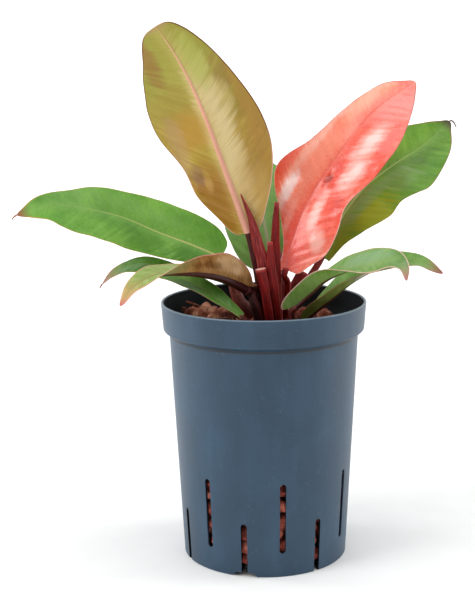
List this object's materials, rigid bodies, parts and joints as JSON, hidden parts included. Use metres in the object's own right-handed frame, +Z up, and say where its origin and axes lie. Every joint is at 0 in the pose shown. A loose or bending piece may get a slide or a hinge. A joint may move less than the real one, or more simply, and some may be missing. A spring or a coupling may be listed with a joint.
{
  "type": "potted philodendron",
  "caption": "Leafy philodendron with gold, coral, bronze and green leaves, rooted in baked-clay pellets in a tall slotted blue-grey culture pot.",
  "frame": {"origin": "middle of the pot's underside, on the surface it stands on", "axes": "+Z up, -Y toward the front, +X to the right"},
  "size_m": [0.3177, 0.15, 0.389],
  "materials": {
    "pot_plastic": "satin injection-moulded polypropylene, near black inside",
    "baked_clay": "rough porous reddish-brown expanded clay",
    "green_leaf": "waxy living leaf, pale midrib, thin reddish edge",
    "gold_leaf": "waxy olive-gold leaf underside with a pink midrib",
    "coral_leaf": "glossy new salmon-red leaf",
    "bronze_leaf": "waxy leaf, bronze-brown underside and green upper face",
    "stalk": "glossy dark maroon stalk tissue",
    "dry_sheath": "dry papery brown sheath tissue",
    "root": "pale fibrous root"
  },
  "bodies": {
    "root": {"pot": "pot_plastic", "clay_pellet_fill": "baked_clay", "clay_pellet_1": "baked_clay", "clay_pellet_2": "baked_clay", "clay_pellet_3": "baked_clay", "clay_pellet_4": "baked_clay", "clay_pellet_5": "baked_clay", "clay_pellet_6": "baked_clay", "clay_pellet_7": "baked_clay", "clay_pellet_8": "baked_clay", "clay_pellet_9": "baked_clay", "clay_pellet_10": "baked_clay", "clay_pellet_11": "baked_clay", "clay_pellet_12": "baked_clay", "stem": "stalk", "root_1": "root", "root_2": "root", "root_3": "root", "root_4": "root", "root_5": "root", "root_6": "root", "blade_gold": "gold_leaf", "blade_coral": "coral_leaf", "blade_right_green": "green_leaf", "blade_back_green": "green_leaf", "blade_left_green": "green_leaf", "blade_bronze": "bronze_leaf", "blade_low_left": "green_leaf", "blade_front_right": "green_leaf", "blade_low_right": "green_leaf", "petiole_gold": "stalk", "petiole_coral": "stalk", "petiole_right_green": "stalk", "petiole_back_green": "stalk", "petiole_left_green": "stalk", "petiole_bronze": "stalk", "petiole_low_left": "stalk", "petiole_front_right": "stalk", "petiole_low_right": "stalk", "sheath_spear": "stalk", "sheath_red": "stalk", "sheath_red_inner": "stalk", "sheath_right": "stalk", "cut_petiole_stub": "stalk", "sheath_brown": "dry_sheath", "dry_stick": "dry_sheath", "dry_root": "dry_sheath"}
  },
  "joints": []
}
